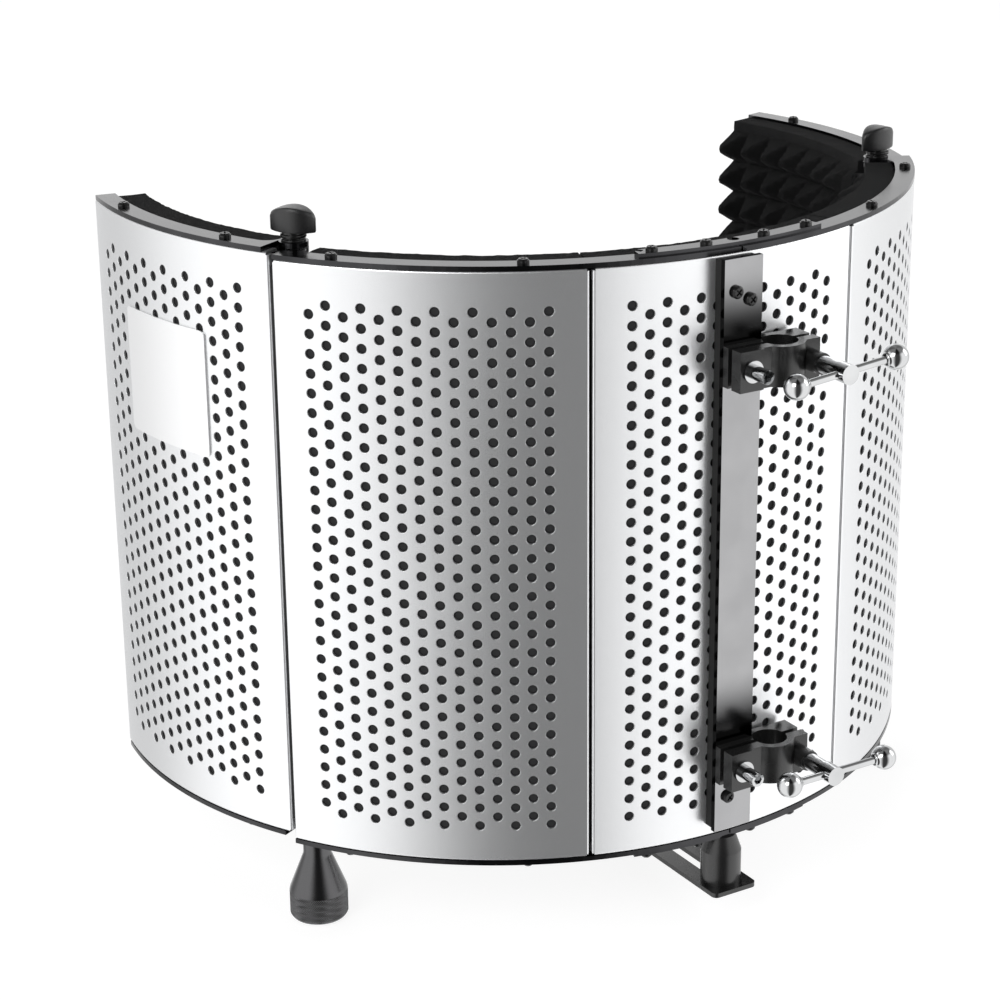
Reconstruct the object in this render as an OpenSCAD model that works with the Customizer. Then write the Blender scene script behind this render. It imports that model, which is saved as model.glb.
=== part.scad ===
// Five-panel folding microphone isolation shield.
// Everything is drawn in the frame of the arc: its centre is at x = y = 0, z = 0 is half-way up the
// fixed panels, -Y is the stand side and +Y the open side. At the end row_frame() moves the origin
// to the axis of the lower stand clamp.

/* [Panels] */
// Outer radius of the curved metal panels
shell_r = 228; // [226:1:232]
// Height of each panel
panel_h = 310; // [300:5:320]
// Angle from one seam to the next
panel_step = 39.86; // [39.6:0.02:40.1]
// Thickness of the aluminium sheet
sheet_t = 1.2; // [1:0.1:1.4]
// Open gap at each seam
seam_gap = 1.5; // [1.4:0.1:1.6]
// Width of the flanges folded inwards along the top and bottom
flange_w = 9.5; // [9:0.5:10]
// Offset of the left wing above the fixed panels, and of the right wing below them
wing_lift = 3; // [3:0.1:3.4]

/* [Rims] */
// Width of the steel strips along the edges
rim_w = 10.5; // [10.5:0.5:11]
// Thickness of the steel strips
rim_t = 2.5; // [2:0.1:2.5]
// Half angle of the lap plates over the joint of the strips
lap_half = 13.9; // [13.5:0.1:15]

/* [Foam] */
// Depth of the foam from the sheet to its peaks
foam_depth = 40; // [30:1:40]
// Angle that the foam stops short of each hinge
foam_cut = 6; // [6:0.5:8]

/* [Hinges] */
// Radius of the hinge axes from the centre of the arc
hinge_r = 209.8; // [209.5:0.1:210]
// Angle of the hinge axes from the middle of the shield
hinge_a = 59.19; // [59.1:0.01:59.3]
// Inward fold of the left wing as it stands
left_wing_rest = 1; // [0:0.5:60]
// Inward fold of the right wing as it stands
right_wing_rest = 6.5; // [0:0.5:60]
// Turn of the left thumb knob
left_knob_turn = -52; // [-180:1:180]
// Turn of the right thumb knob
right_knob_turn = 9; // [-180:1:180]

/* [Stand clamps] */
// Width of the mounting bar
bar_w = 22.5; // [22:0.5:23]
// Height of one clamp
clamp_h = 20.5; // [18:0.5:24]
// Radius of the bore that holds the stand tube
tube_r = 9; // [7:0.5:9]
// Distance between the two clamps
clamp_spacing = 212; // [180:1:220]
// Turn of the upper cross rod about its screw
upper_rod_turn = 5; // [-60:1:60]
// Offset of the lower cross rod through its boss
lower_rod_shift = 4.5; // [-16:0.5:16]
// Offset of the upper cross rod through its boss
upper_rod_shift = 1.5; // [-16:0.5:16]

/* [Microphone plate] */
// Length of the slotted plate
plate_len = 170; // [150:5:180]
// Width of the slotted plate
plate_w = 27; // [26:1:34]
// Width of the slot
slot_w = 7; // [7:0.5:10]
// Length of the spacer that carries the plate
spacer_len = 27; // [24:1:32]

/* [Hidden] */
$fn = 64;

// Running clearance between a shaft and its bore
play = 0.05;
// Hairline clearance above and below the strips, where flat faces meet
seat = 0.01;
panel_top = panel_h / 2;
rim_top = panel_top + rim_t;
seam_a = seam_gap / 2 / shell_r * 180 / PI;
panel_half = panel_step / 2 - seam_a;
side_mid = panel_step;
wing_mid = 2 * panel_step;
rim_in = shell_r - rim_w;
rim_mid = shell_r - rim_w / 2;
rim_break = 0.12;
rim_end = 1.5 * panel_step - 0.25;
wing_rim_start = 1.5 * panel_step + 1.2;
wing_rim_end = wing_mid + panel_half - 0.6;

// Rim screws: pan heads with a cross recess
screw_r = 1.45;
screw_head_r = 3;
screw_head_h = 2.4;
screw_len = 5;
lap_screw_len = 7;
screw_hole_r = 1.55;
side_screws = [28, 52];
lap_screws = [4.4, 11.9];
wing_screws = [67.7, 90.8];
lap_t = 2.2;

// Hinge stack
hinge_x = hinge_r * sin(hinge_a);
hinge_y = -hinge_r * cos(hinge_a);
stud_r = 2.95;
ear_hole_r = stud_r + play;
ear_r = 7.4;
nut_r = 5.5;
nut_h = 5;
knob_neck_h = 4.5;
knob_h = 12.5;
lens_r = 16.5;
lens_offset = 10.7;
foot_low = -207;

// Mounting bar and clamps
bar_x = -4.55;
bar_front = -236;
bar_t = 3;
bar_low = -149;
bar_high = 154.5;
bar_screw_at = [[-4.3, 138], [4.1, 133.3], [-3.5, -130.3]];
lower_clamp_z = -110.3;
upper_clamp_z = lower_clamp_z + clamp_spacing;
tube_x = 14;
tube_y = -241.5;
jaw_gap = 3;
jaw_right = 33;
block_w = 14;
jaw_left = bar_x - bar_w / 2;
jaw_plate_t = 4;
front_face = -250.2;
flange_face = -248.7;
ring_r = 12.7;
jaw_bolt_x = -8.6;
screw_x = 27;
m6_r = 2.95;
sleeve_len = 9.8;
boss_r = 5;
sleeve_r = 5.4;
boss_end = -280.5;
rod_y = -275.5;
rod_r = 2;
rod_reach = 30;
ball_r = 6.5;

// Microphone plate
spacer_y = -220.5;
spacer_r = 10.7;
spacer_top = -rim_top - lap_t;
plate_top = spacer_top - spacer_len;
plate_t = 2.5;
plate_front = -234.5;
plate_bolt_r = 2.95;
slot_start = -206;
slot_end = plate_front + plate_len - 12;
mic_y = -135;
mic_stud_r = 7.9;

// ---------- placing ----------

module row_frame() translate([-tube_x, -tube_y, -lower_clamp_z]) children();

// side 1 is the right half as drawn, side -1 its mirror image
module sided(side) {
    if (side > 0) children();
    else mirror([1, 0, 0]) children();
}

module at_angle(a, r = 0) rotate([0, 0, a]) translate([0, -r, 0]) children();

module flipped(end) {
    if (end > 0) children();
    else mirror([0, 0, 1]) children();
}

// The right wing is the left one turned upside down, so its ears lie below the fixed ears
function lift(side) = side < 0 ? wing_lift : -wing_lift;

// A wing is drawn level with the fixed panels, then folded about its hinge and offset
module on_wing(side)
    sided(side)
        translate([hinge_x, hinge_y, lift(side)])
            rotate([0, 0, side > 0 ? right_wing_rest : left_wing_rest])
                translate([-hinge_x, -hinge_y, 0]) children();

// Ring section of rectangular profile between two plan angles
module arc_bar(r_in, r_out, a0, a1, z0, z1)
    rotate([0, 0, a0 - 90])
        rotate_extrude(angle = a1 - a0, $fn = 180)
            translate([r_in, z0]) square([r_out - r_in, z1 - z0]);

// ---------- fasteners ----------

// Pan-head screw, head standing on z = 0 and shank below
module pan_screw(r, head_r, head_h, len) {
    difference() {
        union() {
            cylinder(r = head_r, h = head_h * 0.6);
            translate([0, 0, head_h * 0.6]) cylinder(r1 = head_r, r2 = head_r * 0.72, h = head_h * 0.4);
        }
        for (a = [45, 135])
            rotate([0, 0, a])
                translate([-head_r * 0.6, -head_r * 0.14, head_h * 0.4])
                    cube([head_r * 1.2, head_r * 0.28, head_h]);
    }
    translate([0, 0, -len]) cylinder(r = r, h = len);
}

module rim_screw(len = screw_len) pan_screw(screw_r, screw_head_r, screw_head_h, len);

module hex_nut(across_r, bore_r, h)
    difference() {
        cylinder(r = across_r, h = h, $fn = 6);
        translate([0, 0, -1]) cylinder(r = bore_r, h = h + 2);
    }

// ---------- panels and foam ----------

// Sheet with flanges folded inwards at the top and bottom
module folded_sheet(a_mid) {
    h = panel_top;
    in_r = shell_r - flange_w;
    bend = 0.6;
    rotate([0, 0, a_mid - panel_half - 90])
        rotate_extrude(angle = 2 * panel_half, $fn = 180)
            polygon([
                [in_r, -h], [shell_r - bend, -h], [shell_r, -h + bend], [shell_r, h - bend],
                [shell_r - bend, h], [in_r, h], [in_r, h - sheet_t], [shell_r - sheet_t, h - sheet_t],
                [shell_r - sheet_t, -h + sheet_t], [in_r, -h + sheet_t]
            ]);
}

// Holes through both flanges for the rim screws at the given angles
module flange_holes(angles)
    for (a = angles)
        at_angle(a, rim_mid) translate([0, 0, -panel_top - 1]) cylinder(r = screw_hole_r, h = panel_h + 2);

module panel(a_mid, screws) {
    color("silver")
        difference() {
            folded_sheet(a_mid);
            flange_holes(screws);
        }
}

// Foam block: a deep front part level with the rims, and a back part between the flanges
module foam_block(a0, a1) {
    color("dimgray") {
        h = panel_top + 1.2;
        back_h = panel_top - 6.5;
        front_r = rim_in - 0.8;
        rotate([0, 0, a0 - 90])
            rotate_extrude(angle = a1 - a0, $fn = 180)
                polygon([
                    [shell_r - foam_depth - 1.6, -h], [front_r, -h], [front_r, -back_h],
                    [shell_r - sheet_t - 0.4, -back_h], [shell_r - sheet_t - 0.4, back_h],
                    [front_r, back_h], [front_r, h], [shell_r - foam_depth - 1.6, h]
                ]);
    }
}

foam_seam = panel_step / 2 - 0.15;

module centre_panel() {
    color("silver")
        difference() {
            folded_sheet(0);
            flange_holes(concat(lap_screws, -lap_screws));
            bar_screw_bores(1.7);
            for (end = [-1, 1]) flipped(end) plate_bolt_bore(3.2);
        }
}

module centre_foam() {
    color("dimgray")
        difference() {
            foam_block(-foam_seam, foam_seam);
            bar_screw_pockets();
            translate([0, spacer_y, -panel_top - 3]) cylinder(r = 7, h = 12);
        }
}

module left_side_panel() sided(-1) panel(side_mid, side_screws);
module right_side_panel() panel(side_mid, side_screws);
module left_side_foam() sided(-1) foam_block(foam_seam + 0.3, hinge_a - foam_cut);
module right_side_foam() foam_block(foam_seam + 0.3, hinge_a - foam_cut);
module left_wing_panel() on_wing(-1) panel(wing_mid, wing_screws);
module right_wing_panel() on_wing(1) panel(wing_mid, wing_screws);
module left_wing_foam() on_wing(-1) foam_block(hinge_a + foam_cut, wing_mid + panel_half - 1);
module right_wing_foam() on_wing(1) foam_block(hinge_a + foam_cut, wing_mid + panel_half - 1);

// Blank plate with rounded corners that follows the left wing
module label_plate() {
    color("gainsboro")
        on_wing(-1)
            arc_bar(shell_r + 0.05, shell_r + 0.85, 70.8, 88, 43, 109);
}

// ---------- rims ----------

function azimuth(v) = atan2(v.x, -v.y);
function toward(a, r) = [r * sin(a), -r * cos(a)];
function arc_points(centre, r, a0, a1, steps) =
    [for (i = [0 : steps]) centre + toward(a0 + (a1 - a0) * i / steps, r)];

ear_fillet = 8;
hinge_at = toward(hinge_a, hinge_r);
fillet_r = rim_in - ear_fillet;
fillet_off = acos(
    (hinge_r * hinge_r + fillet_r * fillet_r - pow(ear_r + ear_fillet, 2)) / (2 * hinge_r * fillet_r));

// Outline of a strip from its far end at angle far_a to its end at near_a beside the hinge, with the
// ear round the hinge axis and the hollow corner between them. side is -1 for a strip that comes to
// the hinge from the middle of the shield, 1 for a strip that leaves it
function rim_outline(side, near_a, far_a) =
    let (
        fillet_at = toward(hinge_a + side * fillet_off, fillet_r),
        d = near_a - hinge_a,
        ear_end = toward(near_a, hinge_r * cos(d) + sqrt(pow(ear_r, 2) - pow(hinge_r * sin(d), 2))),
        ear_stop = azimuth(fillet_at - hinge_at) - side * 360
    )
    concat(
        arc_points([0, 0], shell_r, far_a, near_a, 40),
        arc_points(hinge_at, ear_r, azimuth(ear_end - hinge_at), ear_stop, 36),
        arc_points(fillet_at, ear_fillet, azimuth(hinge_at - fillet_at), hinge_a + side * fillet_off, 9),
        arc_points([0, 0], rim_in, hinge_a + side * (fillet_off + 0.5), far_a, 40)
    );

// Strip with its ear and screw holes, z0 at its lower face
module ear_strip(side, near_a, far_a, screws, z0) {
    color([0.16, 0.16, 0.17])
        difference() {
            translate([0, 0, z0 + seat])
                linear_extrude(height = rim_t - 2 * seat) polygon(rim_outline(side, near_a, far_a));
            translate([hinge_x, hinge_y, z0 - 1]) cylinder(r = ear_hole_r, h = rim_t + 2);
            for (a = screws)
                at_angle(a, rim_mid) translate([0, 0, z0 - 1]) cylinder(r = screw_hole_r, h = rim_t + 2);
            translate([0, spacer_y, z0 - 1]) cylinder(r = 3.3, h = rim_t + 2);
        }
}

module half_rim(z0) ear_strip(-1, rim_end, rim_break, concat(lap_screws, side_screws), z0);

module wing_rim(z0) ear_strip(1, wing_rim_start, wing_rim_end, wing_screws, z0);

module top_rim_right() half_rim(panel_top);
module top_rim_left() sided(-1) half_rim(panel_top);
module bottom_rim_right() half_rim(-rim_top);
module bottom_rim_left() sided(-1) half_rim(-rim_top);
module right_wing_top_rim() on_wing(1) wing_rim(panel_top);
module left_wing_top_rim() on_wing(-1) wing_rim(panel_top);
module right_wing_bottom_rim() on_wing(1) wing_rim(-rim_top);
module left_wing_bottom_rim() on_wing(-1) wing_rim(-rim_top);

// Plate that laps over the joint of the two half strips, with chamfered ends
module lap_plate(z0) {
    color([0.2, 0.2, 0.21])
        difference() {
            arc_bar(rim_in + 0.3, shell_r - 1.8, -lap_half, lap_half, z0, z0 + lap_t);
            for (s = [-1, 1])
                at_angle(s * lap_half, rim_in + 0.3)
                    rotate([0, 0, s * 45]) translate([-5, -1.6, z0 - 1]) cube([10, 3.2, lap_t + 2]);
            for (s = [-1, 1])
                for (a = lap_screws)
                    at_angle(s * a, rim_mid) translate([0, 0, z0 - 1]) cylinder(r = screw_hole_r, h = lap_t + 2);
            translate([0, spacer_y, z0 - 1]) cylinder(r = 3, h = lap_t + 2);
        }
}

module top_lap_plate() lap_plate(rim_top);
module bottom_lap_plate() lap_plate(-rim_top - lap_t);

module rim_screws() {
    color([0.1, 0.1, 0.1])
        for (s = [-1, 1])
            for (end = [-1, 1])
                sided(s)
                    flipped(end) {
                        for (a = side_screws)
                            at_angle(a, rim_mid) translate([0, 0, rim_top]) rim_screw();
                        for (a = lap_screws)
                            at_angle(a, rim_mid) translate([0, 0, rim_top + lap_t]) rim_screw(lap_screw_len);
                    }
}

module wing_screw_set(side) {
    color([0.1, 0.1, 0.1])
        on_wing(side)
            for (end = [-1, 1])
                flipped(end)
                    for (a = wing_screws) at_angle(a, rim_mid) translate([0, 0, rim_top]) rim_screw();
}

module left_wing_screws() wing_screw_set(-1);
module right_wing_screws() wing_screw_set(1);

// ---------- hinges ----------

module at_hinge(side) sided(side) translate([hinge_x, hinge_y, 0]) children();

// Welded nuts of the fixed frame: under its top ear on the left, on its bottom ear on the right
module hinge_nuts() {
    color("dimgray")
        for (s = [-1, 1])
            at_hinge(s)
                translate([0, 0, s < 0 ? panel_top - nut_h : -panel_top]) hex_nut(nut_r, ear_hole_r, nut_h);
}

// Welded nut of a wing: on its bottom ear on the left, under its top ear on the right
module wing_nut(side) {
    color("dimgray")
        at_hinge(side)
            translate([0, 0, lift(side) - (side < 0 ? panel_top : nut_h - panel_top)])
                hex_nut(nut_r, ear_hole_r, nut_h);
}

module left_wing_nut() wing_nut(-1);
module right_wing_nut() wing_nut(1);

// The highest ear at a hinge is the wing's on the left and the fixed one on the right
function knob_low(side) = rim_top + max(lift(side), 0);

// Thumb knob: a ringed neck under a lens-shaped grip with a rounded top
module knob(side) {
    low = knob_low(side);
    grip_low = low + knob_neck_h;
    color([0.13, 0.13, 0.14])
        at_hinge(side)
            difference() {
                union() {
                    translate([0, 0, low]) cylinder(r = 5.6, h = knob_neck_h + 1);
                    translate([0, 0, low + 1.2]) cylinder(r = 6.6, h = 1.4);
                    rotate([0, 0, side < 0 ? -left_knob_turn : right_knob_turn])
                        intersection() {
                            lens_side(1, grip_low);
                            lens_side(-1, grip_low);
                            translate([0, 0, grip_low]) cylinder(r = 12, h = knob_h);
                            translate([0, 20, grip_low + knob_h - 22])
                                rotate([90, 0, 0]) cylinder(r = 22, h = 40, $fn = 128);
                        }
                }
                translate([0, 0, low - 1]) cylinder(r = stud_r + play, h = 12);
            }
}

// One of the two round sides of the lens-shaped grip
module lens_side(s, grip_low)
    translate([0, s * lens_offset, grip_low]) cylinder(r = lens_r, h = knob_h);

module knob_stud(side) {
    color("gray")
        at_hinge(side)
            translate([0, 0, panel_top + min(lift(side), 0) - nut_h + 0.5]) cylinder(r = stud_r, h = 18);
}

module left_knob() knob(-1);
module right_knob() knob(1);
module left_knob_stud() knob_stud(-1);
module right_knob_stud() knob_stud(1);

// The lowest ear at a hinge is the fixed one on the left and the wing's on the right
function foot_top(side) = min(lift(side), 0) - rim_top;

// Cone-shaped foot with a straight band for the fingers
module cone_foot(side) {
    low = foot_low - foot_top(side);
    color([0.13, 0.13, 0.14])
        at_hinge(side)
            translate([0, 0, foot_top(side)])
                difference() {
                    rotate_extrude()
                        polygon([
                            [0, 0], [7.2, 0], [7.5, -0.5], [7.5, -13], [15.2, -32.5], [15.2, -34],
                            [15.5, -34.3], [15.5, low + 2.5], [14.6, low + 0.8], [13, low], [0, low]
                        ]);
                    translate([0, 0, -14]) cylinder(r = stud_r + play, h = 15);
                }
}

module foot_stud(side) {
    color("gray")
        at_hinge(side) translate([0, 0, foot_top(side) - 13.5]) cylinder(r = stud_r, h = 23);
}

module left_cone_foot() cone_foot(-1);
module right_cone_foot() cone_foot(1);
module left_foot_stud() foot_stud(-1);
module right_foot_stud() foot_stud(1);

// ---------- mounting bar ----------

module along_y(r, y0, y1) translate([0, y0, 0]) rotate([-90, 0, 0]) cylinder(r = r, h = y1 - y0);

module bar_screw_bores(r)
    for (p = bar_screw_at) translate([bar_x + p[0], 0, p[1]]) along_y(r, -240, -215);

// Pockets in the foam for the ends of the bar's screws and their nuts
module bar_screw_pockets()
    for (p = bar_screw_at) translate([bar_x + p[0], 0, p[1]]) along_y(4, -228, -220.5);

module jaw_bolt_bores(r)
    for (z = [lower_clamp_z, upper_clamp_z]) translate([jaw_bolt_x, 0, z]) along_y(r, -260, -229);

module mounting_bar() {
    color([0.14, 0.14, 0.15])
        difference() {
            translate([bar_x - bar_w / 2, bar_front, bar_low]) cube([bar_w, bar_t, bar_high - bar_low]);
            bar_screw_bores(1.7);
            jaw_bolt_bores(m6_r + play);
        }
}

// Packing strip between the bar and the curved panel
module bar_spacer() {
    inset = 0.6;
    color([0.09, 0.09, 0.09])
        difference() {
            translate([bar_x - bar_w / 2 + inset, bar_front + bar_t, bar_low + 1])
                cube([bar_w - 2 * inset, 12, bar_high - bar_low - 2]);
            translate([0, 0, -200]) cylinder(r = shell_r + 0.05, h = 400, $fn = 180);
            bar_screw_bores(1.7);
            jaw_bolt_bores(m6_r + 0.3);
        }
}

module bar_screws() {
    color([0.1, 0.1, 0.1])
        for (p = bar_screw_at)
            translate([bar_x + p[0], bar_front, p[1]])
                rotate([90, 0, 0]) pan_screw(1.6, 3.3, 2.4, 13.5);
}

module bar_nuts() {
    color("dimgray")
        for (p = bar_screw_at)
            translate([bar_x + p[0], -226.2, p[1]]) rotate([-90, 0, 0]) hex_nut(3.2, 1.65, 2.4);
}

// ---------- stand clamps ----------

module tube_bore(z) translate([tube_x, tube_y, z - clamp_h]) cylinder(r = tube_r, h = 2 * clamp_h);

// Jaw that is fixed to the bar
module rear_jaw(z) {
    low = z - clamp_h / 2;
    back = tube_y + jaw_gap / 2;
    color([0.12, 0.12, 0.13])
        difference() {
            union() {
                translate([jaw_left, back, low]) cube([jaw_right - jaw_left, jaw_plate_t, clamp_h]);
                translate([bar_x + bar_w / 2 + 0.6, back, low])
                    cube([jaw_right - bar_x - bar_w / 2 - 0.6, 10.9, clamp_h]);
            }
            tube_bore(z);
            translate([jaw_bolt_x, 0, z]) along_y(m6_r + play, -260, -229);
            translate([screw_x, 0, z]) along_y(m6_r + play, -260, -220);
            translate([0, 0, low - 1]) cylinder(r = shell_r + 0.3, h = clamp_h + 2, $fn = 180);
        }
}

module upper_rear_jaw() rear_jaw(upper_clamp_z);
module lower_rear_jaw() rear_jaw(lower_clamp_z);

// Jaw that the T-handled screw pulls in
module front_jaw(z) {
    low = z - clamp_h / 2;
    face = tube_y - jaw_gap / 2;
    color([0.12, 0.12, 0.13])
        difference() {
            union() {
                translate([jaw_left, front_face, low]) cube([block_w, face - front_face, clamp_h]);
                translate([jaw_left + block_w - 1, flange_face, low])
                    cube([jaw_right - jaw_left - block_w + 1, face - flange_face, clamp_h]);
                intersection() {
                    translate([tube_x, tube_y, low]) cylinder(r = ring_r, h = clamp_h);
                    translate([tube_x - 20, face - 20, low]) cube([40, 20, clamp_h]);
                }
            }
            tube_bore(z);
            translate([jaw_bolt_x, 0, z]) along_y(m6_r + 0.3, -260, -229);
            translate([screw_x, 0, z]) along_y(m6_r + play, -260, -229);
            translate([screw_x, 0, z]) along_y(sleeve_r + 0.2, -262, flange_face);
        }
}

module upper_front_jaw() front_jaw(upper_clamp_z);
module lower_front_jaw() front_jaw(lower_clamp_z);

// Bolts at the fixed ends of the jaws, with long hollow heads
module jaw_bolts() {
    head_low = front_face - 1.3;
    color("silver")
        for (z = [lower_clamp_z, upper_clamp_z])
            translate([jaw_bolt_x, 0, z])
                difference() {
                    union() {
                        along_y(m6_r, head_low, bar_front + bar_t - 0.1);
                        along_y(3.6, head_low - 11, head_low);
                    }
                    translate([0, head_low - 12, 0])
                        rotate([-90, 0, 0]) cylinder(r = 2.4, h = 6, $fn = 6);
                }
}

module jaw_washers() {
    color("silver")
        for (z = [lower_clamp_z, upper_clamp_z])
            translate([jaw_bolt_x, 0, z])
                difference() {
                    along_y(5.6, front_face - 1.25, front_face - 0.05);
                    along_y(m6_r + 0.1, front_face - 3, front_face + 2);
                }
}

// Screw with a long boss that carries the cross rod
module clamp_screw(z) {
    sleeve_low = flange_face - sleeve_len;
    color("silver")
        translate([screw_x, 0, z])
            difference() {
                union() {
                    along_y(m6_r, flange_face - sleeve_len - 1, -231);
                    along_y(boss_r - 0.5, -272, sleeve_low - 0.05);
                    along_y(boss_r, boss_end, -271.9);
                }
                rotate([0, z > 0 ? -upper_rod_turn : 0, 0])
                    translate([-10, rod_y, 0]) rotate([0, 90, 0]) cylinder(r = rod_r + play, h = 20);
            }
}

module upper_clamp_screw() clamp_screw(upper_clamp_z);
module lower_clamp_screw() clamp_screw(lower_clamp_z);

// Black sleeve between the jaw and the boss
module screw_sleeve(z) {
    color([0.12, 0.12, 0.13])
        translate([screw_x, 0, z])
            difference() {
                along_y(sleeve_r, flange_face - sleeve_len, flange_face - 0.05);
                along_y(m6_r + play, flange_face - sleeve_len - 2, flange_face + 2);
            }
}

module upper_screw_sleeve() screw_sleeve(upper_clamp_z);
module lower_screw_sleeve() screw_sleeve(lower_clamp_z);

module on_rod(z, shift)
    translate([screw_x, rod_y, z])
        rotate([0, z > 0 ? -upper_rod_turn : 0, 0]) translate([shift, 0, 0]) rotate([0, 90, 0]) children();

module cross_rod(z, shift) {
    color("silver")
        on_rod(z, shift) translate([0, 0, -rod_reach - 2]) cylinder(r = rod_r, h = 2 * rod_reach + 4);
}

module rod_balls(z, shift) {
    color("silver")
        on_rod(z, shift)
            for (s = [-1, 1])
                translate([0, 0, s * rod_reach])
                    difference() {
                        sphere(r = ball_r);
                        translate([0, 0, s > 0 ? -10 : -2.1]) cylinder(r = rod_r + play, h = 12.1);
                    }
}

module upper_cross_rod() cross_rod(upper_clamp_z, upper_rod_shift);
module upper_rod_balls() rod_balls(upper_clamp_z, upper_rod_shift);
module lower_cross_rod() cross_rod(lower_clamp_z, lower_rod_shift);
module lower_rod_balls() rod_balls(lower_clamp_z, lower_rod_shift);

// ---------- microphone plate ----------

module plate_bolt_bore(r) translate([0, spacer_y, -rim_top - 6]) cylinder(r = r, h = 20);

module plate_spacer() {
    color([0.13, 0.13, 0.14])
        translate([0, spacer_y, plate_top])
            difference() {
                union() {
                    cylinder(r = spacer_r, h = spacer_len - 9);
                    translate([0, 0, spacer_len - 9]) cylinder(r1 = spacer_r, r2 = 7.5, h = 9);
                }
                translate([0, 0, -1]) cylinder(r = plate_bolt_r + play, h = spacer_len + 2);
            }
}

module plate_bolt() {
    head_h = 3;
    color([0.1, 0.1, 0.1])
        translate([0, spacer_y, 0])
            difference() {
                union() {
                    translate([0, 0, plate_top - plate_t])
                        cylinder(r = plate_bolt_r, h = spacer_len + plate_t + lap_t + rim_t + sheet_t + nut_h);
                    translate([0, 0, plate_top - plate_t - head_h - 0.05]) cylinder(r = 5.2, h = head_h);
                }
                translate([0, 0, plate_top - plate_t - head_h - 1]) cylinder(r = 2.3, h = 3, $fn = 6);
            }
}

module plate_bolt_nut() {
    color("dimgray")
        translate([0, spacer_y, -panel_top + sheet_t]) hex_nut(nut_r, plate_bolt_r + play, nut_h);
}

// Slotted plate that reaches under the open side
module mic_plate() {
    corner = 3;
    back = plate_front + plate_len;
    color([0.12, 0.12, 0.13])
        translate([0, 0, plate_top - plate_t])
            difference() {
                union() {
                    translate([-plate_w / 2, plate_front + corner, 0])
                        cube([plate_w, plate_len - 2 * corner, plate_t]);
                    translate([-plate_w / 2 + corner, plate_front, 0])
                        cube([plate_w - 2 * corner, plate_len, plate_t]);
                    for (x = [-1, 1])
                        for (y = [plate_front + corner, back - corner])
                            translate([x * (plate_w / 2 - corner), y, 0]) cylinder(r = corner, h = plate_t);
                }
                translate([0, spacer_y, -1]) cylinder(r = plate_bolt_r + play, h = plate_t + 2);
                translate([-slot_w / 2, slot_start, -1]) cube([slot_w, slot_end - slot_start, plate_t + 2]);
                for (y = [slot_start, slot_end])
                    translate([0, y, -1]) cylinder(r = slot_w / 2, h = plate_t + 2);
            }
}

// Microphone stud: a flanged threaded stub with a shank that runs in the slot
module mic_stud() {
    color("gray")
        translate([0, mic_y, plate_top]) {
            translate([0, 0, 0.05]) cylinder(r = 11, h = 2.5);
            translate([0, 0, 2.5]) cylinder(r = mic_stud_r, h = 13);
            translate([0, 0, -plate_t - 8]) cylinder(r = 2.95, h = plate_t + 8.1);
        }
}

module stud_thumb_nut() {
    color([0.13, 0.13, 0.14])
        translate([0, mic_y, plate_top - plate_t - 7.05])
            difference() {
                cylinder(r = 9, h = 7);
                translate([0, 0, -1]) cylinder(r = 2.95 + play, h = 9);
            }
}

// ---------- assembly ----------

row_frame() centre_panel();
row_frame() left_side_panel();
row_frame() right_side_panel();
row_frame() centre_foam();
row_frame() left_side_foam();
row_frame() right_side_foam();
row_frame() top_rim_left();
row_frame() top_rim_right();
row_frame() bottom_rim_left();
row_frame() bottom_rim_right();
row_frame() top_lap_plate();
row_frame() bottom_lap_plate();
row_frame() rim_screws();
row_frame() hinge_nuts();
row_frame() mounting_bar();
row_frame() bar_spacer();
row_frame() bar_screws();
row_frame() bar_nuts();
row_frame() upper_rear_jaw();
row_frame() lower_rear_jaw();
row_frame() jaw_bolts();
row_frame() jaw_washers();
row_frame() plate_spacer();
row_frame() plate_bolt();
row_frame() plate_bolt_nut();
row_frame() upper_front_jaw();
row_frame() upper_clamp_screw();
row_frame() upper_screw_sleeve();
row_frame() upper_cross_rod();
row_frame() upper_rod_balls();
row_frame() lower_front_jaw();
row_frame() lower_clamp_screw();
row_frame() lower_screw_sleeve();
row_frame() lower_cross_rod();
row_frame() lower_rod_balls();
row_frame() left_wing_panel();
row_frame() left_wing_foam();
row_frame() left_wing_top_rim();
row_frame() left_wing_bottom_rim();
row_frame() left_wing_screws();
row_frame() left_wing_nut();
row_frame() label_plate();
row_frame() right_wing_panel();
row_frame() right_wing_foam();
row_frame() right_wing_top_rim();
row_frame() right_wing_bottom_rim();
row_frame() right_wing_screws();
row_frame() right_wing_nut();
row_frame() left_knob();
row_frame() left_knob_stud();
row_frame() right_knob();
row_frame() right_knob_stud();
row_frame() left_cone_foot();
row_frame() left_foot_stud();
row_frame() right_cone_foot();
row_frame() right_foot_stud();
row_frame() mic_plate();
row_frame() mic_stud();
row_frame() stud_thumb_nut();
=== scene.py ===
"""Looks of the folding microphone shield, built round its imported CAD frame.

Lengths below are in millimetres in the frame of the arc: its centre is at x = y = 0, z = 0 is
half-way up the fixed panels, -Y is the stand side. The angle phi turns from -Y towards +X, in
degrees. A side is -1 for the left and 1 for the right.
"""
import math

import bpy
from mathutils import Matrix, Vector, noise


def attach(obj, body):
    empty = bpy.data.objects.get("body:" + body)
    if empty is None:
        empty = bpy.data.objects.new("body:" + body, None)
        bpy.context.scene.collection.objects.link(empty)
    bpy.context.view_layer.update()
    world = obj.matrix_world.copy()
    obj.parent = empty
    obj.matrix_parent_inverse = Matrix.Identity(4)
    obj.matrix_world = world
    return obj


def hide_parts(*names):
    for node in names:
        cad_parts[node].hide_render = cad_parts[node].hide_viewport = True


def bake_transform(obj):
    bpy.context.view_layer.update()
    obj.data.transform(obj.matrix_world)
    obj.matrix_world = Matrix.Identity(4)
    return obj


# Without a seed the noise takes one from the clock, and the foam's fuzz differs from run to run
noise.seed_set(1)

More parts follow.
